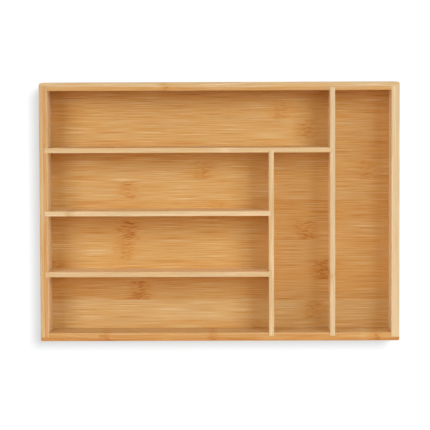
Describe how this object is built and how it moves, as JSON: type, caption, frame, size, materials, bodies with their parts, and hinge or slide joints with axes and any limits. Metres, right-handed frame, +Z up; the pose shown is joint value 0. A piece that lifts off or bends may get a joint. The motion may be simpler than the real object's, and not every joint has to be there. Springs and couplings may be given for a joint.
{
  "type": "cutlery tray",
  "caption": "Shallow rectangular bamboo tray with housed dividers that make long, short and upright compartments for table cutlery in a kitchen drawer.",
  "frame": {"origin": "middle of the footprint, on the surface that the tray stands on", "axes": "+X along the long side towards the full-depth compartment, +Y towards the long rear compartment, +Z up out of the compartments"},
  "size_m": [0.3468, 0.2496, 0.05],
  "materials": {
    "wall_bamboo": "laminated bamboo, clear satin lacquer",
    "divider_bamboo": "pale bamboo strip, clear satin lacquer",
    "floor_bamboo": "flat-pressed bamboo panel, clear satin lacquer"
  },
  "bodies": {
    "root": {"back_wall": "wall_bamboo", "front_wall": "wall_bamboo", "left_wall": "wall_bamboo", "right_wall": "wall_bamboo", "floor_panel": "floor_bamboo", "long_upright": "divider_bamboo", "long_cross_divider": "divider_bamboo", "short_upright": "divider_bamboo", "rear_short_divider": "divider_bamboo", "front_short_divider": "divider_bamboo"}
  },
  "joints": []
}
